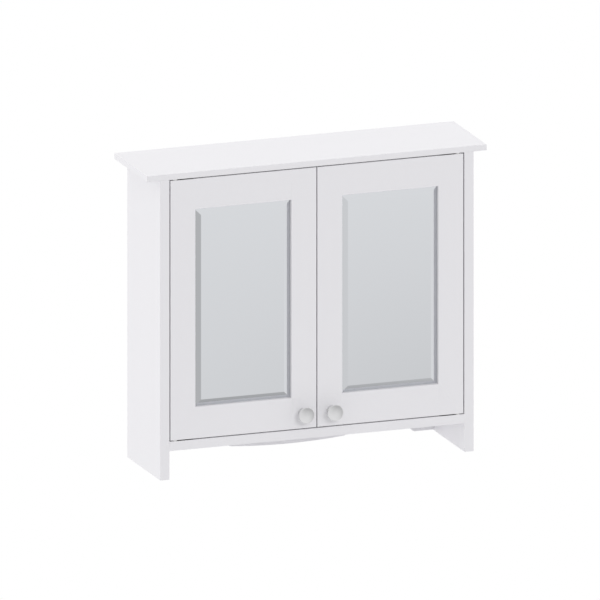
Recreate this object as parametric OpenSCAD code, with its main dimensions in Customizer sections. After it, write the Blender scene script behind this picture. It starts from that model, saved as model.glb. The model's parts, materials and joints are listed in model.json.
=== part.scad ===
// Wall-hung mirror cabinet: a white carcass with two inset doors, each a framed bevelled mirror.
// X runs across the front, Y towards the wall, Z up. The rear plane is Y = 0.
// Z = 0 is the line of the two wall screws.

/* [Carcass] */
// Width of the top board
board_w = 600; // [480:1:800]
// Thickness of the top board
board_t = 10; // [9:0.5:18]
// Overhang of the top board past each side
board_overhang = 23; // [0:1:40]
// Depth of the cabinet without its knobs
depth = 160; // [140:1:240]
// Height of the side panels
side_h = 515; // [440:1:700]
// Thickness of the side panels
side_t = 16.5; // [15:0.5:19]
// Thickness of the bottom panel
floor_t = 16; // [15:0.5:19]
// Underside of the bottom panel above the lower ends of the sides
floor_drop = 49; // [42:1:80]

/* [Back] */
// Thickness of the back panel
back_t = 3; // [2.5:0.5:6]
// Depth of the grooves that hold the back panel
groove_d = 4; // [3:0.5:5]
// Thickness of the two rear rails
rail_t = 16; // [15:0.5:19]
// Height of the hanging rail
hanging_rail_h = 60; // [50:1:90]
// Wall screws below the top board
screw_line_drop = 30; // [24:1:36]
// Wall screws from the inner faces of the sides
screw_inset = 61; // [50:1:100]
// Diameter of the wall screw holes
screw_hole_d = 5.5; // [4:0.5:8]

/* [Scalloped rail] */
// Feet of the rail above the lower ends of the sides
foot_lift = 2.5; // [1:0.5:8]
// Width of each foot
foot_w = 35; // [25:1:60]
// Lowest point of the middle above the lower ends of the sides
drop_lift = 2; // [1:0.5:8]
// Radius of the curve under the middle
drop_r = 1110; // [900:10:2000]
// Half width of the middle curve
drop_half_w = 99; // [60:1:110]
// Hollows above the lower ends of the sides
hollow_lift = 18; // [12:0.5:22]
// Width of the curve between a foot or the middle and its hollow
ogee_w = 20; // [8:1:24]

/* [Doors] */
// Gap round and between the doors
door_gap = 1.8; // [1.6:0.1:3.5]
// Thickness of the door frames
door_t = 16; // [15:0.5:20]
// Width of the stiles
stile_w = 44; // [38:1:60]
// Height of a door's top rail
door_rail_h = 52; // [36:0.5:70]
// Height of a door's bottom rail
door_bottom_rail_h = 54; // [36:0.5:70]
// Length of the tenons on the rails
tenon_l = 14; // [8:1:20]
// Thickness of the tenons
tenon_t = 5; // [4:0.5:6]

/* [Mirrors] */
// Thickness of the mirror glass
mirror_t = 6; // [5.5:0.5:7]
// Width of the bevel
bevel_w = 14.5; // [8:0.5:15]
// Slope of the bevel in degrees
bevel_slope = 14; // [8:0.5:21]
// Thickness of the frame in front of the glass
lip_t = 7; // [4.5:0.5:8]
// Width of the rebate that the glass lies in
rebate_w = 4; // [3:0.5:6]
// Thickness of the backing board
backing_t = 3; // [2:0.5:3]

/* [Knobs] */
// Diameter of a knob's head
knob_d = 28; // [18:0.5:32]
// Depth of a knob
knob_l = 21; // [19:0.5:30]
// Thickness of its head at the edge
knob_edge_l = 2; // [1.5:0.5:4]
// Diameter of its neck
knob_neck_d = 12; // [9:0.5:16]
// Diameter of its foot
knob_foot_d = 16; // [12:0.5:18]
// Height of the knob above the lower edge of the door
knob_up = 27; // [20:1:200]
// Diameter of the knob screw
knob_screw_d = 4; // [3:0.5:5]

/* [Hinges] */
// Diameter of the pivot pins
pin_d = 4; // [3:0.5:5]
// Running clearance round a pin
pin_clear = 0.05; // [0.03:0.01:0.08]
// Pin from the inner face of the side
pin_in = 11; // [11:0.5:14]
// Pin behind the front of the door
pin_back = 5; // [4.8:0.1:5.4]
// Width of the hinge leaves
leaf_w = 7.5; // [7:0.5:8]
// Thickness of the hinge leaves
leaf_t = 2.5; // [2:0.1:3]
// Length of a leaf past the pin
leaf_l = 32; // [28:0.5:33]

/* [Shelf] */
// Thickness of the shelf
shelf_t = 12; // [10:0.5:18]
// Set-back of the shelf behind the front
shelf_setback = 26; // [24:1:50]
// Rows of shelf pin holes
pin_rows = 5; // [3:2:7]
// Pitch of the shelf pin holes
pin_pitch = 32; // [25:1:32]
// Diameter of the shelf pins
shelf_pin_d = 5; // [5:0.5:6]

/* [Fittings] */
// Diameter of the cam discs
cam_d = 15; // [12:0.5:15]
// Depth of the cam discs
cam_l = 12; // [10:0.5:12.5]
// Cam centre from the joint
cam_in = 22; // [18:0.5:24]
// Diameter of the dowels
dowel_d = 6; // [5:0.5:8]
// Length of a dowel in the panel that it ends in
dowel_l = 18; // [14:1:22]
// Height of the magnetic catch
catch_h = 16; // [14:0.5:20]
// Depth of the magnetic catch
catch_l = 14; // [12:0.5:20]

/* [Hidden] */
$fn = 48;

// Overlap of a cutting shape past the face that it cuts
cut = 1;
// Slack round parts that are pushed into a hole or a groove
slack = 0.1;
// Room past the end of a screw, pin or dowel in its hole
end_room = 0.5;

// Levels and faces of the carcass
side_top = screw_line_drop;
side_bottom = side_top - side_h;
floor_under = side_bottom + floor_drop;
floor_top = floor_under + floor_t;
opening_h = side_top - floor_top;
body_w = board_w - 2 * board_overhang;
inner_w = body_w - 2 * side_t;
groove_t = back_t + 2 * slack;
groove_rear = rail_t + 2 * slack;
back_front = groove_rear + groove_t - slack;

mid_z = (floor_top + side_top) / 2;

// The left door, from its hinge edge at x0 to its meeting edge at x1. The right door mirrors it.
x0 = -inner_w / 2 + door_gap;
x1 = -door_gap / 2;
door_w = x1 - x0;
z0 = floor_top + door_gap;
z1 = side_top - door_gap;
door_front = -depth;
door_rear = -depth + door_t;
sight_w = door_w - 2 * stile_w;
sight_low = z0 + door_bottom_rail_h;
sight_high = z1 - door_rail_h;
sight_h = sight_high - sight_low;
sight_x = (x0 + x1) / 2;
sight_z = (sight_low + sight_high) / 2;

// Mirror and what holds it
glass_clear = 1;
tenon_inner = rebate_w + 1;
tenon_setdown = 15;
tenon_y = door_front + door_t / 2;
glass_w = sight_w + 2 * (rebate_w - glass_clear);
glass_h = sight_h + 2 * (rebate_w - glass_clear);
bevel_depth = bevel_w * tan(bevel_slope);
// The glass rests on the lower edge of its rebate, where the lip covers most of the bevel
glass_drop = glass_clear - slack;
lip_overlap = rebate_w - glass_clear + glass_drop;
glass_front = door_front + lip_t - (bevel_w - lip_overlap) * tan(bevel_slope);
glass_rear = glass_front + mirror_t;
backing_rear = glass_rear + backing_t;
bead_lap = 2;

// Hinges
pin_x = -inner_w / 2 + pin_in;
pin_y = door_front + pin_back;
leaf_screw_d = 3;
leaf_head_d = 5.4;
leaf_screw_places = [13, 26];
fixed_screw_l = board_t - 2;
washer_clear = 0.1;
washer_t = door_gap - washer_clear;
washer_d = 8;
pin_past_leaf = 2;
pin_room = 1;
door_screw_l = 13;

// Knob, a little off the middle of its stile
knob_off = 2.4;
knob_x = x1 - stile_w / 2 - knob_off;
knob_z = z0 + knob_up;
knob_edge_r = 0.6;
knob_rim_w = 1;
knob_dish = 2.3;
knob_dish_d = knob_d - 2 * knob_rim_w;
knob_dish_r = (pow(knob_dish_d / 2, 2) + pow(knob_dish, 2)) / (2 * knob_dish);
knob_foot_l = 2;
neck_r = 3;
knob_lip = 0.8;
flare_r = (knob_d - knob_neck_d) / 2 - knob_lip;
knob_screw_in = 14;
knob_screw_room = 0.4;
knob_screw_head_d = 8;
knob_screw_head_l = 2;

// Shelf
shelf_clear = 1;
shelf_pin_in = 9;
shelf_pin_out = 8;
shelf_pin_inset = 20;
pin_row_z = floor_top + opening_h / 2 - shelf_t;
shelf_under = pin_row_z + shelf_pin_d / 2;
shelf_rear = -back_front - shelf_clear;
shelf_front = -depth + shelf_setback;

// Catch
strike_w = 12;
strike_t = 1.2;
strike_gap = 0.3;
strike_drop = 9.5;
strike_in = 8;
catch_w = 50;
catch_front = door_rear + strike_t + strike_gap;
catch_screw_x = 20;
magnet_w = 10;
magnet_h = 8;
magnet_l = 8;
small_screw_d = 3;
small_head_d = 6;
strike_head_d = 5;
strike_screw_l = 10;
catch_bite = board_t - 3;

// Joints of the left side: place, turn, thickness of the panel that holds the bolt or the dowel's
// root, and half the thickness of the other panel. Each joint's +X runs into that other panel,
// and its +Z is the way that the cam faces.
front_cam_in = 38;
rear_cam_in = 24;
rail_cam_drop = 18;
rail_dowel_drop = 36;
rail_dowel_up = 10;
front_joint = -depth + front_cam_in;
rear_joint = -rail_t - rear_cam_in;
dowel_off = 24;
inner_x = -inner_w / 2;
side_mid = inner_x - side_t / 2;
floor_mid = floor_under + floor_t / 2;
facing_in = [0, 90, 0];
facing_down = [180, 0, 0];
facing_wall = [-90, 0, 0];
cam_y = [front_joint, rear_joint];
dowel_y = [front_joint + dowel_off, rear_joint - dowel_off];
cam_places = concat(
    [for (y = cam_y) [[side_mid, y, side_top], facing_in, board_t, side_t / 2]],
    [for (y = cam_y) [[inner_x, y, floor_mid], facing_down, side_t, floor_t / 2]],
    [for (z = [0, floor_under - rail_cam_drop])
        [[inner_x, -rail_t / 2, z], facing_wall, side_t, rail_t / 2]]);
dowel_places = concat(
    [for (y = dowel_y) [[side_mid, y, side_top], facing_in, board_t]],
    [for (y = dowel_y) [[inner_x, y, floor_mid], facing_down, side_t]],
    [for (z = [side_top - hanging_rail_h + rail_dowel_up, floor_under - rail_dowel_drop])
        [[inner_x, -rail_t / 2, z], facing_wall, side_t]]);
root_margin = 4;
cam_bolt_d = 5;
cam_shaft_d = 6;
cam_head_d = 7;
cam_head_l = 3;
cam_channel_d = 8;
cam_thread_d = 5;
driver_l = 9;
driver_w = 1.6;
driver_d = 2;

module on_both_sides() {
    children();
    mirror([1, 0, 0]) children();
}

// The doors and the hinges are the same at the top and at the bottom
module turned_over() translate([0, 0, 2 * mid_z]) mirror([0, 0, 1]) children();

module top_and_bottom() {
    children();
    turned_over() children();
}

module box(low, high) translate(low) cube(high - low);

module rod_x(from, to, d) translate([from, 0, 0]) rotate([0, 90, 0]) cylinder(h = to - from, d = d);

module rod_y(from, to, d) translate([0, to, 0]) rotate([90, 0, 0]) cylinder(h = to - from, d = d);

module rod_z(from, to, d) translate([0, 0, from]) cylinder(h = to - from, d = d);

// A countersunk screw along -Z with the face of its head at Z = 0
module countersunk(d, head_d, l) {
    rod_z(-l, 0, d);
    head_l = (head_d - d) / 2;
    rotate_extrude() polygon([[0, 0], [head_d / 2, 0], [d / 2, -head_l], [0, -head_l]]);
}

module screw_hole(d, l) {
    rod_z(-l - end_room, cut, d + slack);
}

module countersunk_hole(d, head_d, l) {
    countersunk(d + slack, head_d + slack, l + cut);
    rod_z(0, cut, head_d + slack);
}

// What the cam fittings and the dowels take out of the panels
module joint_holes() {
    for (p = cam_places) translate(p[0]) rotate(p[1]) {
        rod_x(root_margin - p[2] - end_room, cut, cam_bolt_d + slack);
        rod_x(0, cam_in, cam_channel_d);
        translate([cam_in, 0, 0]) rod_z(p[3] - cam_l - slack, p[3] + cut, cam_d + 2 * slack);
    }
    for (p = dowel_places) translate(p[0]) rotate(p[1])
        rod_x(root_margin - p[2] - end_room, dowel_l + end_room, dowel_d + slack);
}

// What the back panel takes out of the sides, the bottom panel and the top board
module groove() {
    box([inner_x - groove_d, -groove_rear - groove_t, floor_top - groove_d],
        [-inner_x + groove_d, -groove_rear, side_top + groove_d]);
}

module leaf_shape(grow) {
    circle(d = leaf_w + 2 * grow);
    translate([0, -leaf_w / 2 - grow]) square([leaf_l + grow, leaf_w + 2 * grow]);
}

module top_board() color("white") difference() {
    box([-board_w / 2, -depth, side_top], [board_w / 2, 0, side_top + board_t]);
    groove();
    on_both_sides() {
        joint_holes();
        fixed_leaf_recess();
    }
    catch_places() translate([0, 0, catch_h]) mirror([0, 0, 1]) screw_hole(small_screw_d, catch_bite);
}

module side_panel() difference() {
    box([-body_w / 2, -depth, side_bottom], [inner_x, 0, side_top]);
    groove();
    joint_holes();
    shelf_pin_holes();
}

module left_side() color("white") side_panel();

module right_side() color("white") mirror([1, 0, 0]) side_panel();

module bottom_panel() color("white") difference() {
    box([inner_x, -depth, floor_under], [-inner_x, 0, floor_top]);
    groove();
    on_both_sides() {
        joint_holes();
        top_and_bottom() fixed_leaf_recess();
    }
}

// The wall screws go through the back panel and the hanging rail
module wall_screw_hole() translate([inner_x + screw_inset, 0, 0])
    rod_y(-back_front - cut, cut, screw_hole_d);

module back_panel() color("whitesmoke") difference() {
    box([inner_x - groove_d + slack, -back_front, floor_top - groove_d + slack],
        [-inner_x + groove_d - slack, -groove_rear - slack, side_top + groove_d - slack]);
    on_both_sides() wall_screw_hole();
}

module hanging_rail() color("whitesmoke") difference() {
    box([inner_x, -rail_t, side_top - hanging_rail_h], [-inner_x, 0, side_top]);
    on_both_sides() {
        joint_holes();
        wall_screw_hole();
    }
}

// The lower edge of the scalloped rail, as points from the middle to the side
curve_steps = 10;
foot_x = inner_w / 2 - foot_w;
drop_end = drop_lift + drop_r - sqrt(pow(drop_r, 2) - pow(drop_half_w, 2));
function ogee(x, from, to) =
    [for (i = [0 : curve_steps]) [x + ogee_w * i / curve_steps,
        from + (to - from) * (1 - cos(180 * i / curve_steps)) / 2]];
function drop_curve() =
    [for (i = [0 : curve_steps - 1]) let (x = drop_half_w * i / curve_steps)
        [x, drop_lift + drop_r - sqrt(pow(drop_r, 2) - pow(x, 2))]];
lower_edge = concat(drop_curve(), ogee(drop_half_w, drop_end, hollow_lift),
    ogee(foot_x - ogee_w, hollow_lift, foot_lift), [[inner_w / 2, foot_lift]]);
last = len(lower_edge) - 1;

module scalloped_rail() color("white") difference() {
    translate([0, 0, side_bottom]) rotate([90, 0, 0]) linear_extrude(rail_t) polygon(concat(
        lower_edge, [[inner_w / 2, floor_drop], [-inner_w / 2, floor_drop]],
        [for (i = [last : -1 : 1]) [-lower_edge[i][0], lower_edge[i][1]]]));
    on_both_sides() joint_holes();
}

module shelf() color("white") box([inner_x + shelf_clear, shelf_front, shelf_under],
    [-inner_x - shelf_clear, shelf_rear, shelf_under + shelf_t]);

module shelf_pin_columns() {
    for (y = [shelf_front + shelf_pin_inset, shelf_rear - shelf_pin_inset])
        translate([inner_x, y, pin_row_z]) children();
}

module shelf_pin_holes() shelf_pin_columns()
    for (row = [-(pin_rows - 1) / 2 : (pin_rows - 1) / 2]) translate([0, 0, row * pin_pitch])
        rod_x(-shelf_pin_in - end_room, cut, shelf_pin_d + slack);

module shelf_pins() color("silver") on_both_sides() shelf_pin_columns()
    rod_x(-shelf_pin_in, shelf_pin_out, shelf_pin_d);

module cam_bolts() color("silver") on_both_sides() for (p = cam_places) translate(p[0]) rotate(p[1]) {
    rod_x(root_margin - p[2], 0, cam_bolt_d);
    rod_x(0, cam_in, cam_thread_d);
    rod_x(0, cam_in / 2, cam_shaft_d);
    rod_x(cam_in - cam_head_l / 2, cam_in + cam_head_l / 2, cam_head_d);
}

module cam_discs() color("gray") on_both_sides() for (p = cam_places) translate(p[0]) rotate(p[1])
    difference() {
        translate([cam_in, 0, 0]) rod_z(p[3] - cam_l, p[3], cam_d);
        rod_x(0, cam_in + cam_head_l, cam_channel_d);
        translate([cam_in, 0, p[3]]) for (turn = [45, 135]) rotate([0, 0, turn])
            cube([driver_l, driver_w, 2 * driver_d], center = true);
    }

module dowels() color("burlywood") on_both_sides() for (p = dowel_places) translate(p[0]) rotate(p[1])
    rod_x(root_margin - p[2], dowel_l, dowel_d);

module catch_places() {
    for (x = [-catch_screw_x, catch_screw_x])
        translate([x, catch_front + catch_l / 2, side_top - catch_h]) children();
}

module magnet_places() on_both_sides()
    translate([x1 - strike_in, catch_front, side_top - strike_drop]) children();

module catch_housing() color("white") difference() {
    box([-catch_w / 2, catch_front, side_top - catch_h], [catch_w / 2, catch_front + catch_l, side_top]);
    magnet_places() box([-magnet_w / 2 - slack, -cut, -magnet_h / 2 - slack],
        [magnet_w / 2 + slack, magnet_l + slack, magnet_h / 2 + slack]);
    catch_places() mirror([0, 0, 1]) countersunk_hole(small_screw_d, small_head_d, catch_h);
}

module catch_magnets() color("dimgray") magnet_places()
    box([-magnet_w / 2, 0, -magnet_h / 2], [magnet_w / 2, magnet_l, magnet_h / 2]);

module catch_screws() color("silver") catch_places() mirror([0, 0, 1])
    countersunk(small_screw_d, small_head_d, catch_h + catch_bite);

module fixed_leaf_recess() translate([pin_x, pin_y, side_top]) {
    translate([0, 0, -cut]) linear_extrude(cut + leaf_t + slack) leaf_shape(slack);
    for (x = leaf_screw_places) translate([x, 0, 0])
        mirror([0, 0, 1]) screw_hole(leaf_screw_d, fixed_screw_l);
}

module door_leaf_recess() translate([pin_x, pin_y, z1]) {
    translate([0, 0, -leaf_t - slack]) linear_extrude(leaf_t + slack + cut) leaf_shape(slack);
    rod_z(-leaf_t - pin_past_leaf - pin_room, 0, pin_d + pin_room);
    for (x = leaf_screw_places) translate([x, 0, 0]) screw_hole(leaf_screw_d, door_screw_l);
}

module fixed_hinge_leaves() color("silver") on_both_sides() top_and_bottom()
    translate([pin_x, pin_y, side_top]) difference() {
        linear_extrude(leaf_t) leaf_shape(0);
        rod_z(-cut, leaf_t + cut, pin_d);
        for (x = leaf_screw_places) translate([x, 0, 0]) mirror([0, 0, 1])
            countersunk_hole(leaf_screw_d, leaf_head_d, leaf_t);
    }

module hinge_pins() color("silver") on_both_sides() top_and_bottom() translate([pin_x, pin_y, 0])
    rod_z(z1 - leaf_t - pin_past_leaf, side_top + leaf_t, pin_d);

module hinge_washers() color("white") on_both_sides() top_and_bottom()
    translate([pin_x, pin_y, side_top]) difference() {
        rod_z(-washer_t, 0, washer_d);
        rod_z(-washer_t - cut, cut, pin_d + 2 * pin_clear);
    }

module fixed_hinge_screws() color("silver") on_both_sides() top_and_bottom()
    translate([pin_x, pin_y, side_top]) for (x = leaf_screw_places) translate([x, 0, 0])
        mirror([0, 0, 1]) countersunk(leaf_screw_d, leaf_head_d, fixed_screw_l);

// The left door's parts. Those of the right door are their mirror images.
module rebate_pocket() box(
    [sight_x - sight_w / 2 - rebate_w, door_front + lip_t, sight_low - rebate_w],
    [sight_x + sight_w / 2 + rebate_w, door_rear + cut, sight_high + rebate_w]);

// The two tenons of a rail of height rail_h at the top of the door
module tenons(rail_h, grow) for (side = [-1, 1]) {
    edge = sight_x + side * sight_w / 2;
    translate([edge, tenon_y, 0]) mirror([side < 0 ? 1 : 0, 0, 0])
        box([-cut, -tenon_t / 2 - grow, z1 - rail_h + tenon_inner - grow],
            [tenon_l + grow, tenon_t / 2 + grow, z1 - tenon_setdown + grow]);
}

module mortises() {
    tenons(door_rail_h, slack);
    turned_over() tenons(door_bottom_rail_h, slack);
}

module door_member(low_x, high_x, low_z, high_z) difference() {
    box([low_x, door_front, low_z], [high_x, door_rear, high_z]);
    rebate_pocket();
}

module hinge_stile() difference() {
    door_member(x0, x0 + stile_w, z0, z1);
    mortises();
    top_and_bottom() door_leaf_recess();
}

module meeting_stile() difference() {
    door_member(x1 - stile_w, x1, z0, z1);
    mortises();
    translate([knob_x, 0, knob_z])
        rod_y(door_front - cut, door_rear + cut, knob_screw_d + knob_screw_room);
    strike_place() rotate([-90, 0, 0]) screw_hole(small_screw_d, strike_screw_l);
}

module top_rail() {
    door_member(x0 + stile_w, x1 - stile_w, sight_high, z1);
    tenons(door_rail_h, 0);
}

module bottom_rail() {
    door_member(x0 + stile_w, x1 - stile_w, z0, sight_low);
    turned_over() tenons(door_bottom_rail_h, 0);
}

// One cross section of the glass, w wide, with its bevels towards -Y
module glass_section(w) polygon([[-w / 2, mirror_t], [-w / 2, bevel_depth], [-w / 2 + bevel_w, 0],
    [w / 2 - bevel_w, 0], [w / 2, bevel_depth], [w / 2, mirror_t]]);

module mirror_pane() translate([sight_x, glass_front, sight_z - glass_drop]) intersection() {
    translate([0, 0, -glass_h / 2]) linear_extrude(glass_h) glass_section(glass_w);
    rotate([0, 90, 0]) translate([0, 0, -glass_w / 2]) linear_extrude(glass_w) glass_section(glass_h);
}

module backing_board() translate([sight_x, glass_rear, sight_z])
    box([-glass_w / 2, 0, -glass_h / 2], [glass_w / 2, backing_t, glass_h / 2]);

module beads() translate([sight_x, backing_rear, sight_z]) {
    out_x = sight_w / 2 + rebate_w - slack;
    out_z = sight_h / 2 + rebate_w - slack;
    bead_w = rebate_w + bead_lap;
    for (side = [-1, 1]) {
        translate([side * (out_x - bead_w / 2) - bead_w / 2, 0, -out_z])
            cube([bead_w, door_rear - backing_rear, 2 * out_z]);
        translate([-out_x + bead_w + slack, 0, side * (out_z - bead_w / 2) - bead_w / 2])
            cube([2 * (out_x - bead_w - slack), door_rear - backing_rear, bead_w]);
    }
}

function arc(x, y, r, from, to) = [for (i = [0 : curve_steps])
    let (a = from + (to - from) * i / curve_steps) [x + r * cos(a), y + r * sin(a)]];

// The dished knob's outline from its axis out, with the door's face at 0
module knob_shape() polygon(concat(
    [[0, 0], [knob_foot_d / 2, 0], [knob_foot_d / 2, knob_foot_l]],
    arc(knob_neck_d / 2 + neck_r, knob_foot_l + neck_r, neck_r, 225, 180),
    arc(knob_neck_d / 2 + flare_r, knob_l - knob_edge_l - flare_r, flare_r, 180, 90),
    arc(knob_d / 2 - knob_edge_r, knob_l - knob_edge_l + knob_edge_r, knob_edge_r, -90, 0),
    arc(knob_d / 2 - knob_edge_r, knob_l - knob_edge_r, knob_edge_r, 0, 90),
    arc(0, knob_l - knob_dish + knob_dish_r, knob_dish_r, asin(knob_dish_d / 2 / knob_dish_r) - 90, -90)));

module knob() translate([knob_x, door_front, knob_z]) rotate([90, 0, 0]) difference() {
    rotate_extrude() knob_shape();
    rod_z(-cut, knob_screw_in + 2 * end_room, knob_screw_d + slack);
}

module knob_screw() translate([knob_x, 0, knob_z]) {
    rod_y(door_front - knob_screw_in, door_rear, knob_screw_d);
    rod_y(door_rear, door_rear + knob_screw_head_l, knob_screw_head_d);
}

module strike_place() translate([x1 - strike_in, door_rear, side_top - strike_drop]) children();

module strike_plate() strike_place() difference() {
    box([-strike_w / 2, 0, -strike_w / 2], [strike_w / 2, strike_t, strike_w / 2]);
    translate([0, strike_t, 0]) rotate([-90, 0, 0])
        countersunk_hole(small_screw_d, strike_head_d, strike_t);
}

module strike_screw() strike_place() translate([0, strike_t, 0]) rotate([-90, 0, 0])
    countersunk(small_screw_d, strike_head_d, strike_t + strike_screw_l);

module door_leaves() top_and_bottom() translate([pin_x, pin_y, z1 - leaf_t]) difference() {
    linear_extrude(leaf_t) leaf_shape(0);
    rod_z(-cut, leaf_t + cut, pin_d + 2 * pin_clear);
    translate([0, 0, leaf_t]) for (x = leaf_screw_places) translate([x, 0, 0])
        countersunk_hole(leaf_screw_d, leaf_head_d, leaf_t);
}

module leaf_screws() top_and_bottom() translate([pin_x, pin_y, z1])
    for (x = leaf_screw_places) translate([x, 0, 0])
        countersunk(leaf_screw_d, leaf_head_d, door_screw_l);

module left_hinge_stile() color("white") hinge_stile();
module left_meeting_stile() color("white") meeting_stile();
module left_top_rail() color("white") top_rail();
module left_bottom_rail() color("white") bottom_rail();
module left_mirror() color("lightsteelblue") mirror_pane();
module left_backing_board() color("peru") backing_board();
module left_beads() color("white") beads();
module left_knob() color("lightgray") knob();
module left_knob_screw() color("silver") knob_screw();
module left_strike_plate() color("silver") strike_plate();
module left_strike_screw() color("silver") strike_screw();
module left_door_leaves() color("silver") door_leaves();
module left_leaf_screws() color("silver") leaf_screws();

module right_hinge_stile() color("white") mirror([1, 0, 0]) hinge_stile();
module right_meeting_stile() color("white") mirror([1, 0, 0]) meeting_stile();
module right_top_rail() color("white") mirror([1, 0, 0]) top_rail();
module right_bottom_rail() color("white") mirror([1, 0, 0]) bottom_rail();
module right_mirror() color("lightsteelblue") mirror([1, 0, 0]) mirror_pane();
module right_backing_board() color("peru") mirror([1, 0, 0]) backing_board();
module right_beads() color("white") mirror([1, 0, 0]) beads();
module right_knob() color("lightgray") mirror([1, 0, 0]) knob();
module right_knob_screw() color("silver") mirror([1, 0, 0]) knob_screw();
module right_strike_plate() color("silver") mirror([1, 0, 0]) strike_plate();
module right_strike_screw() color("silver") mirror([1, 0, 0]) strike_screw();
module right_door_leaves() color("silver") mirror([1, 0, 0]) door_leaves();
module right_leaf_screws() color("silver") mirror([1, 0, 0]) leaf_screws();

top_board();
left_side();
right_side();
bottom_panel();
back_panel();
hanging_rail();
scalloped_rail();
shelf();
shelf_pins();
cam_bolts();
cam_discs();
dowels();
catch_housing();
catch_magnets();
catch_screws();
fixed_hinge_leaves();
hinge_pins();
hinge_washers();
fixed_hinge_screws();
left_hinge_stile();
left_meeting_stile();
left_top_rail();
left_bottom_rail();
left_mirror();
left_backing_board();
left_beads();
left_knob();
left_knob_screw();
left_strike_plate();
left_strike_screw();
left_door_leaves();
left_leaf_screws();
right_hinge_stile();
right_meeting_stile();
right_top_rail();
right_bottom_rail();
right_mirror();
right_backing_board();
right_beads();
right_knob();
right_knob_screw();
right_strike_plate();
right_strike_screw();
right_door_leaves();
right_leaf_screws();
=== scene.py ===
# Wall mirror cabinet: eased white boards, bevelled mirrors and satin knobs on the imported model.
import json
import math
import bmesh
import bpy
from mathutils import Matrix, Vector


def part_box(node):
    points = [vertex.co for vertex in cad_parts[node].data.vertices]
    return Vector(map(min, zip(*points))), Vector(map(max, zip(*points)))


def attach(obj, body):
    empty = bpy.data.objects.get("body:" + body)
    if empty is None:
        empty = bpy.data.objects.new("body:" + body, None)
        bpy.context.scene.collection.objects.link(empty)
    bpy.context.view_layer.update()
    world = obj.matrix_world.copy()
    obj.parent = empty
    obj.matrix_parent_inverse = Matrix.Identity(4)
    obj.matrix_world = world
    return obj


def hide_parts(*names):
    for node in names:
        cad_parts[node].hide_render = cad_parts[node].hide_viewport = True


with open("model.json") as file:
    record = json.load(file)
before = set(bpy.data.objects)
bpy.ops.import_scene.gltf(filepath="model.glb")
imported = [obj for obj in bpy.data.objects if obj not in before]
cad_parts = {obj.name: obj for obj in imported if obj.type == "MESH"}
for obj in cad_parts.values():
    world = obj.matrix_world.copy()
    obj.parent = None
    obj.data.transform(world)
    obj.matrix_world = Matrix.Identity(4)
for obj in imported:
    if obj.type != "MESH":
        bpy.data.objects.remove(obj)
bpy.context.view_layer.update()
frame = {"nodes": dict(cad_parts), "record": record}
record = frame["record"]
print("frame loaded:", len(frame["nodes"]), "nodes")

mm = 0.001
weldGap = 0.002 * mm
planeSlack = 0.02 * mm


# ---- small helpers for shader nodes

def addNode(tree, kind, at, inputs=None, **settings):
    node = tree.nodes.new(kind)
    node.location = at
    for name, value in settings.items():
        setattr(node, name, value)
    for name, value in (inputs or {}).items():
        node.inputs[name].default_value = value
    return node


def link(tree, outSocket, inSocket):
    tree.links.new(outSocket, inSocket)


def mathNode(tree, how, at, a, b=None):
    node = addNode(tree, "ShaderNodeMath", at, operation=how)
    for slotAt, value in enumerate((a, b)):
        if value is None:
            continue
        if isinstance(value, (int, float)):
            node.inputs[slotAt].default_value = value
        else:
            link(tree, value, node.inputs[slotAt])
    return node.outputs[0]


def newGroup(name, inputs, outputs):
    tree = bpy.data.node_groups.new(name, "ShaderNodeTree")
    for label, value in inputs.items():
        socket = tree.interface.new_socket(name=label, in_out="INPUT", socket_type="NodeSocketFloat")
        socket.default_value = value
    for label in outputs:
        tree.interface.new_socket(name=label, in_out="OUTPUT", socket_type="NodeSocketFloat")
    start = addNode(tree, "NodeGroupInput", (-900, 0))
    end = addNode(tree, "NodeGroupOutput", (700, 0))
    return tree, start, end


def noiseNode(tree, at, coords, scale, detail=2.0, stretch=None):
    if stretch:
        mapping = addNode(tree, "ShaderNodeMapping", (at[0] - 200, at[1]), {"Scale": stretch})
        link(tree, coords, mapping.inputs["Vector"])
        coords = mapping.outputs["Vector"]
    noise = addNode(tree, "ShaderNodeTexNoise", at, {"Detail": detail})
    link(tree, coords, noise.inputs["Vector"])
    if isinstance(scale, (int, float)):
        noise.inputs["Scale"].default_value = scale
    else:
        link(tree, scale, noise.inputs["Scale"])
    return noise.outputs["Fac"]


# ---- effects that several finishes share

# A sprayed or moulded film: broad tone changes, handled patches and a fine peel
def makeFilmGroup():
    tree, start, end = newGroup(
        "filmGrain", {"Peel scale": 420.0, "Tone spread": 0.02, "Rough": 0.4, "Rough spread": 0.08},
        ["Tone", "Roughness", "Height"])
    coords = addNode(tree, "ShaderNodeTexCoord", (-900, 300)).outputs["Object"]
    broad = noiseNode(tree, (-600, 300), coords, 5.0, 1.0)
    handled = noiseNode(tree, (-600, 60), coords, 38.0, 4.0)
    peel = noiseNode(tree, (-600, -200), coords, start.outputs["Peel scale"], 2.0)
    lift = mathNode(tree, "SUBTRACT", (-350, 300), broad, 0.5)
    lift = mathNode(tree, "MULTIPLY", (-180, 300), lift, start.outputs["Tone spread"])
    tone = mathNode(tree, "ADD", (0, 300), lift, 1.0)
    patch = mathNode(tree, "SUBTRACT", (-350, 60), handled, 0.5)
    patch = mathNode(tree, "MULTIPLY", (-180, 60), patch, start.outputs["Rough spread"])
    rough = mathNode(tree, "ADD", (0, 60), patch, start.outputs["Rough"])
    height = mathNode(tree, "MULTIPLY", (-180, -200), handled, 0.35)
    height = mathNode(tree, "ADD", (0, -200), height, peel)
    for value, name in ((tone, "Tone"), (rough, "Roughness"), (height, "Height")):
        link(tree, value, end.inputs[name])
    return tree


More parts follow.
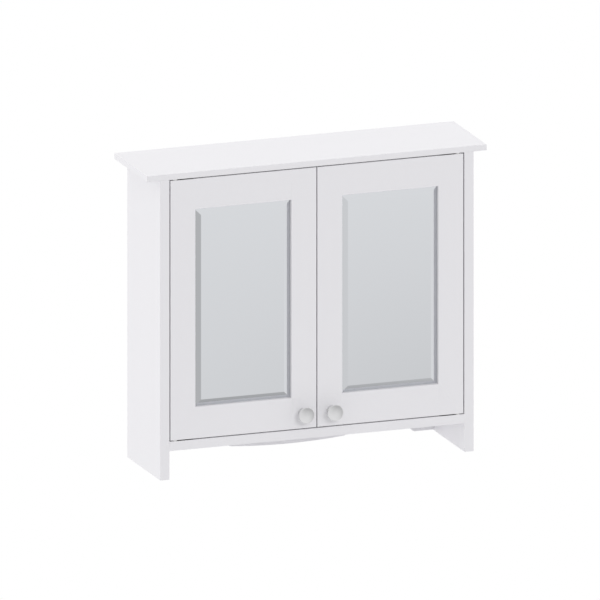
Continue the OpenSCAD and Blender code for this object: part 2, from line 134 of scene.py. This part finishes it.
# Metal drawn or brushed along X, with a little cloudiness in its gloss
def makeBrushGroup():
    tree, start, end = newGroup(
        "brushLines", {"Line scale": 900.0, "Tone spread": 0.06, "Rough": 0.32, "Rough spread": 0.12},
        ["Tone", "Roughness", "Height"])
    coords = addNode(tree, "ShaderNodeTexCoord", (-1100, 300)).outputs["Object"]
    lines = noiseNode(tree, (-600, 300), coords, start.outputs["Line scale"], 3.0, (0.06, 1.0, 1.0))
    cloud = noiseNode(tree, (-600, 0), coords, 130.0, 3.0)
    lift = mathNode(tree, "SUBTRACT", (-350, 300), lines, 0.5)
    shade = mathNode(tree, "MULTIPLY", (-180, 300), lift, start.outputs["Tone spread"])
    tone = mathNode(tree, "ADD", (0, 300), shade, 1.0)
    patch = mathNode(tree, "SUBTRACT", (-350, 0), cloud, 0.5)
    patch = mathNode(tree, "ADD", (-180, 100), patch, lift)
    patch = mathNode(tree, "MULTIPLY", (0, 0), patch, start.outputs["Rough spread"])
    rough = mathNode(tree, "ADD", (180, 0), patch, start.outputs["Rough"])
    for value, name in ((tone, "Tone"), (rough, "Roughness"), (lines, "Height")):
        link(tree, value, end.inputs[name])
    return tree


# Thin dust that settles on whatever faces up
def makeDustGroup():
    tree, start, end = newGroup("settledDust", {"Amount": 0.1, "Patch scale": 30.0}, ["Mask"])
    coords = addNode(tree, "ShaderNodeTexCoord", (-900, 300)).outputs["Object"]
    normal = addNode(tree, "ShaderNodeNewGeometry", (-900, 0)).outputs["Normal"]
    parts = addNode(tree, "ShaderNodeSeparateXYZ", (-700, 0))
    link(tree, normal, parts.inputs[0])
    facingUp = addNode(tree, "ShaderNodeMapRange", (-500, 0), {"From Min": 0.6, "From Max": 1.0})
    link(tree, parts.outputs["Z"], facingUp.inputs["Value"])
    patches = noiseNode(tree, (-500, 300), coords, start.outputs["Patch scale"], 5.0)
    amount = mathNode(tree, "MULTIPLY", (-200, 200), patches, start.outputs["Amount"])
    mask = mathNode(tree, "MULTIPLY", (0, 100), amount, facingUp.outputs[0])
    link(tree, mask, end.inputs["Mask"])
    return tree


filmGroup = makeFilmGroup()
brushGroup = makeBrushGroup()
dustGroup = makeDustGroup()


# ---- finishes

def placeGroup(tree, group, at, values):
    node = addNode(tree, "ShaderNodeGroup", at, node_tree=group)
    for name, value in values.items():
        node.inputs[name].default_value = value
    return node


def tinted(tree, colour, tone, at):
    mix = addNode(tree, "ShaderNodeMix", at, data_type="RGBA", blend_type="MULTIPLY")
    mix.inputs[0].default_value = 1.0
    mix.inputs[6].default_value = (*colour, 1.0)
    link(tree, tone, mix.inputs[7])
    return mix.outputs[2]


def blended(tree, amount, first, second, at):
    mix = addNode(tree, "ShaderNodeMix", at, data_type="RGBA")
    link(tree, amount, mix.inputs[0])
    for place, value in ((6, first), (7, second)):
        if isinstance(value, tuple):
            mix.inputs[place].default_value = (*value, 1.0)
        else:
            link(tree, value, mix.inputs[place])
    return mix.outputs[2]


def newMaterial(name, metallic=0.0):
    material = bpy.data.materials.new(name)
    material.use_nodes = True
    tree = material.node_tree
    shader = tree.nodes["Principled BSDF"]
    shader.inputs["Metallic"].default_value = metallic
    return material, tree, shader


def addBump(tree, shader, height, depth, strength):
    bump = addNode(tree, "ShaderNodeBump", (-200, -300), {"Distance": depth, "Strength": strength})
    link(tree, height, bump.inputs["Height"])
    link(tree, bump.outputs["Normal"], shader.inputs["Normal"])


# Paint, melamine and plastic: one film over one colour, with dust where it faces up
def makeFilmFinish(name, spec):
    material, tree, shader = newMaterial(name)
    film = placeGroup(tree, filmGroup, (-700, 100), spec["film"])
    colour = tinted(tree, spec["colour"], film.outputs["Tone"], (-450, 200))
    dust = placeGroup(tree, dustGroup, (-700, -150), {"Amount": spec["dust"], "Patch scale": 26.0})
    colour = blended(tree, dust.outputs["Mask"], colour, spec["dustColour"], (-220, 200))
    link(tree, colour, shader.inputs["Base Color"])
    rough = mathNode(tree, "ADD", (-220, 0), film.outputs["Roughness"], dust.outputs["Mask"])
    link(tree, rough, shader.inputs["Roughness"])
    addBump(tree, shader, film.outputs["Height"], spec["bumpDepth"], spec["bumpStrength"])
    return material


def makeMetalFinish(name, spec):
    material, tree, shader = newMaterial(name, 1.0)
    brush = placeGroup(tree, brushGroup, (-600, 100), spec["brush"])
    colour = tinted(tree, spec["colour"], brush.outputs["Tone"], (-350, 200))
    link(tree, colour, shader.inputs["Base Color"])
    link(tree, brush.outputs["Roughness"], shader.inputs["Roughness"])
    addBump(tree, shader, brush.outputs["Height"], spec["bumpDepth"], spec["bumpStrength"])
    return material


whitePaint = {"colour": (0.83, 0.822, 0.85), "dust": 0.03, "dustColour": (0.72, 0.71, 0.70),
              "film": {"Peel scale": 460.0, "Tone spread": 0.012, "Rough": 0.36, "Rough spread": 0.06},
              "bumpDepth": 0.00002, "bumpStrength": 0.35}
whitePlastic = {"colour": (0.78, 0.78, 0.76), "dust": 0.04, "dustColour": (0.66, 0.65, 0.63),
                "film": {"Peel scale": 900.0, "Tone spread": 0.02, "Rough": 0.48, "Rough spread": 0.1},
                "bumpDepth": 0.00004, "bumpStrength": 0.5}
steelSpec = {"colour": (0.60, 0.60, 0.615), "bumpDepth": 0.00002, "bumpStrength": 0.3,
             "brush": {"Line scale": 1400.0, "Tone spread": 0.08, "Rough": 0.34, "Rough spread": 0.14}}
nickelSpec = {"colour": (0.74, 0.74, 0.748), "bumpDepth": 0.00001, "bumpStrength": 0.25,
              "brush": {"Line scale": 1100.0, "Tone spread": 0.03, "Rough": 0.36, "Rough spread": 0.06}}
zincSpec = {"colour": (0.50, 0.505, 0.52), "bumpDepth": 0.00004, "bumpStrength": 0.5,
            "brush": {"Line scale": 500.0, "Tone spread": 0.12, "Rough": 0.46, "Rough spread": 0.2}}


# Thin board: white and finely embossed on its face, raw brown fibre on its back and edges
def makeBackBoard():
    spec = {"white": (0.79, 0.79, 0.80), "fibre": (0.24, 0.145, 0.075), "fleck": (0.34, 0.22, 0.12),
            "film": {"Peel scale": 700.0, "Tone spread": 0.02, "Rough": 0.5}}
    material, tree, shader = newMaterial("whiteBoard")
    film = placeGroup(tree, filmGroup, (-900, 300), spec["film"])
    face = tinted(tree, spec["white"], film.outputs["Tone"], (-600, 400))
    coords = addNode(tree, "ShaderNodeTexCoord", (-1300, -100)).outputs["Object"]
    fleck = noiseNode(tree, (-900, -100), coords, 260.0, 6.0)
    raw = blended(tree, fleck, spec["fibre"], spec["fleck"], (-600, 0))
    normal = addNode(tree, "ShaderNodeNewGeometry", (-1300, -400)).outputs["True Normal"]
    parts = addNode(tree, "ShaderNodeSeparateXYZ", (-1100, -400))
    link(tree, normal, parts.inputs[0])
    isFace = mathNode(tree, "LESS_THAN", (-900, -400), parts.outputs["Y"], -0.5)
    colour = blended(tree, isFace, raw, face, (-350, 200))
    link(tree, colour, shader.inputs["Base Color"])
    isRaw = mathNode(tree, "SUBTRACT", (-750, -250), 1.0, isFace)
    rawRough = mathNode(tree, "MULTIPLY", (-600, -250), isRaw, 0.3)
    rough = mathNode(tree, "ADD", (-350, -100), rawRough, film.outputs["Roughness"])
    link(tree, rough, shader.inputs["Roughness"])
    addBump(tree, shader, film.outputs["Height"], 0.00004, 0.5)
    return material


# Backing behind the mirrors: pressed fibre, brown, with pale flecks
def makeHardboard():
    spec = {"dark": (0.20, 0.115, 0.055), "light": (0.33, 0.21, 0.115)}
    material, tree, shader = newMaterial("hardboard")
    coords = addNode(tree, "ShaderNodeTexCoord", (-1100, 0)).outputs["Object"]
    fibre = noiseNode(tree, (-700, 200), coords, 210.0, 8.0, (1.0, 1.0, 0.5))
    cloud = noiseNode(tree, (-700, -50), coords, 14.0, 3.0)
    cloud = mathNode(tree, "ADD", (-600, -50), cloud, 0.6)
    amount = mathNode(tree, "MULTIPLY", (-450, 100), fibre, cloud)
    colour = blended(tree, amount, spec["dark"], spec["light"], (-250, 200))
    link(tree, colour, shader.inputs["Base Color"])
    rough = mathNode(tree, "ADD", (-250, 0), mathNode(tree, "MULTIPLY", (-400, -150), fibre, 0.2), 0.62)
    link(tree, rough, shader.inputs["Roughness"])
    addBump(tree, shader, fibre, 0.0002, 0.5)
    return material


# Silvered glass: near-perfect gloss with faint wiping marks
def makeMirrorGlass():
    spec = {"colour": (0.692, 0.707, 0.732), "clean": 0.012, "wiped": 0.032}
    material, tree, shader = newMaterial("mirrorGlass", 1.0)
    coords = addNode(tree, "ShaderNodeTexCoord", (-1100, 0)).outputs["Object"]
    wiped = noiseNode(tree, (-700, 0), coords, 9.0, 5.0, (1.0, 1.0, 0.35))
    haze = addNode(tree, "ShaderNodeMapRange", (-450, 0),
                   {"From Min": 0.45, "From Max": 0.8, "To Min": spec["clean"], "To Max": spec["wiped"]})
    link(tree, wiped, haze.inputs["Value"])
    link(tree, haze.outputs[0], shader.inputs["Roughness"])
    tone = mathNode(tree, "ADD", (-450, 250), mathNode(tree, "MULTIPLY", (-600, 250), wiped, 0.01), 0.995)
    link(tree, tinted(tree, spec["colour"], tone, (-250, 250)), shader.inputs["Base Color"])
    return material


def makeBeech():
    spec = {"pale": (0.62, 0.42, 0.25), "dark": (0.42, 0.25, 0.13)}
    material, tree, shader = newMaterial("beech")
    coords = addNode(tree, "ShaderNodeTexCoord", (-1100, 0)).outputs["Object"]
    grain = noiseNode(tree, (-700, 0), coords, 700.0, 4.0, (0.05, 1.0, 1.0))
    link(tree, blended(tree, grain, spec["dark"], spec["pale"], (-250, 200)), shader.inputs["Base Color"])
    link(tree, mathNode(tree, "ADD", (-250, 0), mathNode(tree, "MULTIPLY", (-400, 0), grain, 0.2), 0.5),
         shader.inputs["Roughness"])
    addBump(tree, shader, grain, 0.0001, 0.4)
    return material


def makeFerrite():
    spec = {"dark": (0.035, 0.035, 0.038), "light": (0.11, 0.11, 0.115)}
    material, tree, shader = newMaterial("ferrite")
    coords = addNode(tree, "ShaderNodeTexCoord", (-1100, 0)).outputs["Object"]
    speck = noiseNode(tree, (-700, 0), coords, 1500.0, 3.0)
    link(tree, blended(tree, speck, spec["dark"], spec["light"], (-250, 200)), shader.inputs["Base Color"])
    link(tree, mathNode(tree, "ADD", (-250, 0), mathNode(tree, "MULTIPLY", (-400, 0), speck, 0.3), 0.45),
         shader.inputs["Roughness"])
    addBump(tree, shader, speck, 0.0001, 0.4)
    return material


finishes = {
    "white_paint": makeFilmFinish("whitePaint", whitePaint),
    "white_plastic": makeFilmFinish("whitePlastic", whitePlastic),
    "white_board": makeBackBoard(),
    "mirror_glass": makeMirrorGlass(),
    "hardboard": makeHardboard(),
    "satin_nickel": makeMetalFinish("satinNickel", nickelSpec),
    "steel": makeMetalFinish("steel", steelSpec),
    "zinc": makeMetalFinish("zinc", zincSpec),
    "beech": makeBeech(),
    "ferrite": makeFerrite(),
}
slotOfNode = {part["node"]: part["material_slot"] for part in record["subparts"]}
for nodeName, cadNode in frame["nodes"].items():
    cadNode.data.materials.clear()
    cadNode.data.materials.append(finishes[slotOfNode[nodeName]])
print("finishes made:", len(finishes))


# ---- boards: welded copies of the CAD boards with their edges eased

# Gives the mesh even normals, with sharp edges above the angle, and hangs it on its body
def meshPiece(bm, name, body, slotName, nodes, sharpAbove=35):
    bmesh.ops.recalc_face_normals(bm, faces=bm.faces)
    for edge in bm.edges:
        edge.smooth = edge.calc_face_angle(math.pi) < math.radians(sharpAbove)
    for face in bm.faces:
        face.smooth = True
    mesh = bpy.data.meshes.new(name)
    bm.to_mesh(mesh)
    bm.free()
    piece = bpy.data.objects.new(name, mesh)
    bpy.context.scene.collection.objects.link(piece)
    mesh.materials.append(finishes[slotName])
    normals = piece.modifiers.new("evenNormals", "WEIGHTED_NORMAL")
    normals.keep_sharp = True
    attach(piece, body)
    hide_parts(*nodes)
    return piece


def onPlane(edge, axis, level):
    return all(abs(v.co[axis] - level) < planeSlack for v in edge.verts)


def between(edge, axis, low, high):
    return all(low - planeSlack < v.co[axis] < high + planeSlack for v in edge.verts)


# An edge of the board's outline lies on two of its outer planes
def onRim(edge, low, high):
    planes = sum(onPlane(edge, axis, level[axis]) for axis in range(3) for level in (low, high))
    return planes >= 2


easing = {"flatBelow": math.radians(0.3), "bentAbove": math.radians(10), "shortest": 3 * mm, "segments": 3}


# Eases the outline, save the edges on the planes in leave, where another board meets this one
def easedBoard(name, node, body, ease, leave=(), splitAt=(), also=None):
    bm = bmesh.new()
    bm.from_mesh(frame["nodes"][node].data)
    bmesh.ops.remove_doubles(bm, verts=bm.verts, dist=weldGap)
    bmesh.ops.dissolve_limit(bm, angle_limit=easing["flatBelow"], verts=bm.verts, edges=bm.edges)
    for level in splitAt:
        everything = bm.verts[:] + bm.edges[:] + bm.faces[:]
        bmesh.ops.bisect_plane(bm, geom=everything, plane_co=(0, 0, level), plane_no=(0, 0, 1))
    low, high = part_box(node)
    picked = []
    for edge in bm.edges:
        if len(edge.link_faces) != 2 or edge.calc_face_angle_signed(0) < easing["bentAbove"]:
            continue
        if also and also(edge):
            picked.append(edge)
        elif onRim(edge, low, high) and edge.calc_length() > easing["shortest"]:
            if not any(onPlane(edge, axis, level) for axis, level in leave):
                picked.append(edge)
    bmesh.ops.bevel(bm, geom=picked, offset=ease, offset_type="OFFSET", segments=easing["segments"],
                    profile=0.5, affect="EDGES", clamp_overlap=False, material=-1)
    return meshPiece(bm, name, body, slotOfNode[node], [node])


carcass = {"ease": 0.25 * mm, "railEase": 0.4 * mm, "railDrop": 25 * mm}
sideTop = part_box("left_side")[1].z
floorLow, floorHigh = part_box("bottom_panel")
railLow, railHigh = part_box("scalloped_rail")
boardEnds = [(0, floorLow.x), (0, floorHigh.x)]

easedBoard("topBoard", "top_board", "cabinet", carcass["ease"])
easedBoard("leftSide", "left_side", "cabinet", carcass["ease"], leave=[(2, sideTop)])
easedBoard("rightSide", "right_side", "cabinet", carcass["ease"], leave=[(2, sideTop)])
easedBoard("bottomPanel", "bottom_panel", "cabinet", carcass["ease"], leave=boardEnds)
easedBoard("innerShelf", "shelf", "cabinet", carcass["ease"])
easedBoard("hangingRail", "hanging_rail", "cabinet", carcass["ease"], leave=boardEnds + [(2, sideTop)])


# The scalloped lower edge is a chain of short edges, so it is picked by its place
def underScallop(edge):
    onFace = onPlane(edge, 1, railLow.y) or onPlane(edge, 1, railHigh.y)
    isLow = max(v.co.z for v in edge.verts) < floorLow.z - carcass["railDrop"]
    atEnd = onPlane(edge, 0, railLow.x) or onPlane(edge, 0, railHigh.x)
    return onFace and isLow and not atEnd


easedBoard("scallopedRail", "scalloped_rail", "cabinet", carcass["railEase"],
           leave=[(0, railLow.x), (0, railHigh.x), (2, railHigh.z)], also=underScallop)
print("carcass eased")


# ---- doors: four members each, flush in front so that the paint hides their seams

doors = {"ease": 0.25 * mm, "left": ("left_door", -1), "right": ("right_door", 1)}


def easedDoor(side):
    body, sign = doors[side]
    stileLow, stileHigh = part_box(side + "_hinge_stile")
    meetLow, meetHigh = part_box(side + "_meeting_stile")
    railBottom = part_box(side + "_bottom_rail")[1].z
    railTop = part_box(side + "_top_rail")[0].z
    front = stileLow.y
    seams = {"hinge": stileHigh.x if sign < 0 else stileLow.x,
             "meeting": meetLow.x if sign < 0 else meetHigh.x}
    for member, level in seams.items():

        def sightEdge(edge, level=level):
            onCorner = onPlane(edge, 0, level) and onPlane(edge, 1, front)
            return onCorner and between(edge, 2, railBottom, railTop)

        easedBoard(f"{side}{member.title()}Stile", f"{side}_{member}_stile", body, doors["ease"],
                   leave=[(0, level)], splitAt=(railBottom, railTop), also=sightEdge)
    for member in ("top", "bottom"):
        easedBoard(f"{side}{member.title()}Rail", f"{side}_{member}_rail", body, doors["ease"])


for side in ("left", "right"):
    easedDoor(side)
print("doors eased")


# ---- knobs: turned profile in millimetres, foot against the door

knob = {"steps": 72, "roundSteps": 8, "footRadius": 8.0, "footHeight": 2.0, "footRound": 0.4,
        "neckRadius": 6.0, "neckRound": 1.4, "flareRound": 7.2, "flareSteps": 12,
        "edgeHeight": 2.0, "edgeRound": 0.6, "lip": 1.0, "lipRound": 0.2,
        "dish": 2.3, "dishRings": 9, "sharpAbove": 50}


def turnedKnob(name, side):
    body = side + "_door"
    low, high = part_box(side + "_knob")
    centreX, centreZ, doorFace = (low.x + high.x) / 2, (low.z + high.z) / 2, high.y
    headRadius, length = (high.x - low.x) / 2 / mm, (high.y - low.y) / mm
    flareX = knob["neckRadius"] + knob["flareRound"]
    edgeY = length - knob["edgeHeight"]
    flareY = edgeY - knob["flareRound"]
    corners = [(knob["footRadius"], 0, 0), (knob["footRadius"], knob["footHeight"], knob["footRound"]),
               (knob["neckRadius"], knob["footHeight"], knob["neckRound"])]
    for step in range(knob["flareSteps"] + 1):
        angle = math.pi / 2 * step / knob["flareSteps"]
        corners.append((flareX - knob["flareRound"] * math.cos(angle),
                        flareY + knob["flareRound"] * math.sin(angle), 0))
    corners += [(headRadius, edgeY, knob["edgeRound"]), (headRadius, length, knob["edgeRound"])]
    for ring in range(knob["dishRings"] + 1):
        share = 1 - ring / knob["dishRings"]
        corners.append(((headRadius - knob["lip"]) * share, length - knob["dish"] * (1 - share ** 2),
                        0 if ring else knob["lipRound"]))
    bm = bmesh.new()
    verts = [bm.verts.new((centreX + r * mm, doorFace - h * mm, centreZ)) for r, h, roundOff in corners]
    for first, second in zip(verts, verts[1:]):
        bm.edges.new((first, second))
    for vert, (r, h, roundOff) in zip(verts, corners):
        if roundOff:
            bmesh.ops.bevel(bm, geom=[vert], offset=roundOff * mm, offset_type="OFFSET",
                            segments=knob["roundSteps"], profile=0.5, affect="VERTICES", material=-1)
    bmesh.ops.spin(bm, geom=bm.verts[:] + bm.edges[:], cent=(centreX, 0, centreZ), axis=(0, 1, 0),
                   angle=2 * math.pi, steps=knob["steps"], use_merge=True, use_duplicate=False)
    bmesh.ops.remove_doubles(bm, verts=bm.verts, dist=weldGap)
    return meshPiece(bm, name, body, "satin_nickel", [side + "_knob"], knob["sharpAbove"])


turnedKnob("leftDoorKnob", "left")
turnedKnob("rightDoorKnob", "right")
print("knobs turned")


# ---- stage: floor, the card that the mirrors face, lights, world and camera

stageSpec = {"floorLevel": -1.5, "floorHalf": 1.4, "floorColour": (0.88, 0.88, 0.89),
             "dome": 1.32, "dimmerFront": 0.88, "dimmerTop": 0.17, "dimmerBack": 0.6,
             "keyRise": 25.0, "keyTurn": 0.0, "keySpread": 22.0, "keyStrength": 0.65, "keyAway": 3.0}


def stagePlane(name, corners, material):
    bm = bmesh.new()
    bmesh.ops.create_grid(bm, x_segments=1, y_segments=1, size=1)
    for vert, corner in zip(bm.verts, corners):
        vert.co = corner
    mesh = bpy.data.meshes.new(name)
    bm.to_mesh(mesh)
    bm.free()
    plane = bpy.data.objects.new(name, mesh)
    bpy.context.scene.collection.objects.link(plane)
    mesh.materials.append(material)
    return plane


def makeFloor():
    material, tree, shader = newMaterial("floorPaint")
    film = placeGroup(tree, filmGroup, (-600, 0), {"Peel scale": 90.0, "Rough": 0.7})
    colour = tinted(tree, stageSpec["floorColour"], film.outputs["Tone"], (-300, 200))
    link(tree, colour, shader.inputs["Base Color"])
    link(tree, film.outputs["Roughness"], shader.inputs["Roughness"])
    half, level = stageSpec["floorHalf"], stageSpec["floorLevel"]
    plane = stagePlane("floor", [(x, y, level) for y in (-half, half) for x in (-half, half)], material)
    plane.visible_glossy = False
    return plane


# Stops of a ramp as (place in metres, brightness)
def rampOver(tree, value, stops, at):
    low, high = stops[0][0], stops[-1][0]
    spread = addNode(tree, "ShaderNodeMapRange", at, {"From Min": low, "From Max": high})
    link(tree, value, spread.inputs["Value"])
    ramp = addNode(tree, "ShaderNodeValToRGB", (at[0] + 200, at[1]))
    ramp.color_ramp.interpolation = "B_SPLINE"
    elements = ramp.color_ramp.elements
    while len(elements) < len(stops):
        elements.new(0.5)
    for element, (place, bright) in zip(elements, stops):
        element.position = (place - low) / (high - low)
        element.color = (bright, bright, bright, 1)
    link(tree, spread.outputs[0], ramp.inputs[0])
    return ramp.outputs[0]


card = {"y": -2.4, "x": (-4.5, 6.0), "z": (-4.8, 1.8), "lean": 0.5,
        "across": [(-4.5, 0.8), (-0.8, 0.54), (-0.455, 0.60), (-0.17, 0.98), (0.2, 1.0), (6.0, 0.92)],
        "up": [(-4.8, 0.28), (-2.2, 0.52), (-1.84, 0.80), (-0.9, 0.91), (-0.3, 0.99), (0.4, 0.99),
               (1.8, 0.93)],
        "dipX": [(0.4, 0.0), (0.75, 0.35), (1.1, 1.0), (1.7, 0.4), (2.4, 0.0)],
        "dipZ": (-0.62, -1.02), "dip": 0.17}


# A glowing card in front, no lamp, seen only in reflections: painted reflection, darker at the left and
# below, with a dip low at the right
def makeCard():
    material = bpy.data.materials.new("paintedReflectionGlow")
    material.use_nodes = True
    tree = material.node_tree
    tree.nodes.clear()
    coords = addNode(tree, "ShaderNodeTexCoord", (-900, 0)).outputs["Object"]
    parts = addNode(tree, "ShaderNodeSeparateXYZ", (-700, 0))
    link(tree, coords, parts.inputs[0])
    across = rampOver(tree, parts.outputs["X"], card["across"], (-500, 200))
    leaning = mathNode(tree, "MULTIPLY", (-650, -200), parts.outputs["X"], card["lean"])
    leaning = mathNode(tree, "ADD", (-550, -300), leaning, parts.outputs["Z"])
    up = rampOver(tree, leaning, card["up"], (-500, -200))
    dipX = rampOver(tree, parts.outputs["X"], card["dipX"], (-500, -500))
    low, high = card["dipZ"]
    dipZ = addNode(tree, "ShaderNodeMapRange", (-500, -750), {"From Min": low, "From Max": high})
    link(tree, parts.outputs["Z"], dipZ.inputs["Value"])
    dip = mathNode(tree, "MULTIPLY", (-300, -500), dipX, dipZ.outputs[0])
    dip = mathNode(tree, "MULTIPLY", (-150, -500), dip, card["dip"])
    # Painted reflection: the card glows at this ramped brightness, which the mirrors and knobs show as
    # their reflected tones
    glow = addNode(tree, "ShaderNodeEmission", (200, 0), {"Strength": 1.0})
    bright = mathNode(tree, "MINIMUM", (0, 0), across, up)
    link(tree, mathNode(tree, "SUBTRACT", (100, -200), bright, dip), glow.inputs["Color"])
    link(tree, glow.outputs[0], addNode(tree, "ShaderNodeOutputMaterial", (400, 0)).inputs["Surface"])
    plane = stagePlane("glowingReflectionCard", [(x, card["y"], z) for z in card["z"] for x in card["x"]], material)
    plane.visible_camera = False
    plane.visible_diffuse = False
    plane.visible_transmission = False
    plane.visible_shadow = False
    return plane


# A broad, weak light from the front and above, which gives the knobs their soft shadows
def keyLight():
    data = bpy.data.lights.new("keyLight", "SUN")
    data.angle = math.radians(stageSpec["keySpread"])
    data.energy = stageSpec["keyStrength"]
    lamp = bpy.data.objects.new("keyLight", data)
    rise, turn = math.radians(stageSpec["keyRise"]), math.radians(stageSpec["keyTurn"])
    away = stageSpec["keyAway"]
    lamp.location = (away * math.sin(turn), -away * math.cos(turn), away * math.tan(rise))
    lamp.rotation_euler = (-lamp.location).to_track_quat("-Z", "Y").to_euler()
    lamp.visible_glossy = False
    bpy.context.scene.collection.objects.link(lamp)
    return lamp


# A light dome, dimmer in front, behind and on top, and white for the camera and for reflections
def makeWorld():
    world = bpy.data.worlds.new("studio")
    bpy.context.scene.world = world
    world.use_nodes = True
    tree = world.node_tree
    tree.nodes.clear()
    rays = addNode(tree, "ShaderNodeLightPath", (-700, 200))
    seen = mathNode(tree, "MAXIMUM", (-450, 200),
                    rays.outputs["Is Camera Ray"], rays.outputs["Is Glossy Ray"])
    seen = mathNode(tree, "MAXIMUM", (-250, 200), seen, rays.outputs["Is Transmission Ray"])
    light = addNode(tree, "ShaderNodeBackground", (-250, 0), {"Color": (1, 1, 1, 1)})
    towards = addNode(tree, "ShaderNodeTexCoord", (-1100, -50)).outputs["Generated"]
    parts = addNode(tree, "ShaderNodeSeparateXYZ", (-900, -50))
    link(tree, towards, parts.inputs[0])
    front = mathNode(tree, "MINIMUM", (-720, 0), parts.outputs["Y"], 0.0)
    front = mathNode(tree, "MULTIPLY", (-560, 0), front, stageSpec["dimmerFront"])
    top = mathNode(tree, "MAXIMUM", (-720, -200), parts.outputs["Z"], 0.0)
    top = mathNode(tree, "MULTIPLY", (-560, -200), top, -stageSpec["dimmerTop"])
    back = mathNode(tree, "MAXIMUM", (-720, -350), parts.outputs["Y"], 0.0)
    back = mathNode(tree, "MULTIPLY", (-640, -450), back, back)
    back = mathNode(tree, "MULTIPLY", (-560, -350), back, -stageSpec["dimmerBack"])
    dome = mathNode(tree, "ADD", (-400, 0), front, top)
    dome = mathNode(tree, "ADD", (-400, -100), dome, stageSpec["dome"])
    dome = mathNode(tree, "ADD", (-300, -250), dome, back)
    link(tree, dome, light.inputs["Strength"])
    white = addNode(tree, "ShaderNodeBackground", (-250, -150), {"Color": (1, 1, 1, 1), "Strength": 1.0})
    mix = addNode(tree, "ShaderNodeMixShader", (0, 0))
    link(tree, seen, mix.inputs[0])
    link(tree, light.outputs[0], mix.inputs[1])
    link(tree, white.outputs[0], mix.inputs[2])
    link(tree, mix.outputs[0], addNode(tree, "ShaderNodeOutputWorld", (200, 0)).inputs["Surface"])


cameraSpec = {"azimuth": -20.0, "elevation": 15.0, "across": 0.02662, "up": -0.2320,
              "distance": 4.0, "span": 0.9963}


def placeCamera():
    turn, tilt = math.radians(cameraSpec["azimuth"]), math.radians(cameraSpec["elevation"])
    back = Vector((math.sin(turn) * math.cos(tilt), -math.cos(turn) * math.cos(tilt), math.sin(tilt)))
    right = Vector((math.cos(turn), math.sin(turn), 0))
    up = back.cross(right)
    data = bpy.data.cameras.new("photoView")
    data.type = "ORTHO"
    data.ortho_scale = cameraSpec["span"]
    camera = bpy.data.objects.new("photoView", data)
    at = right * cameraSpec["across"] + up * cameraSpec["up"] + back * cameraSpec["distance"]
    camera.matrix_world = Matrix.Translation(at) @ Matrix((right, up, back)).transposed().to_4x4()
    bpy.context.scene.collection.objects.link(camera)
    bpy.context.scene.camera = camera


makeFloor()
makeCard()
makeWorld()
keyLight()
placeCamera()
bpy.context.scene.view_settings.view_transform = "Standard"
print("stage set")
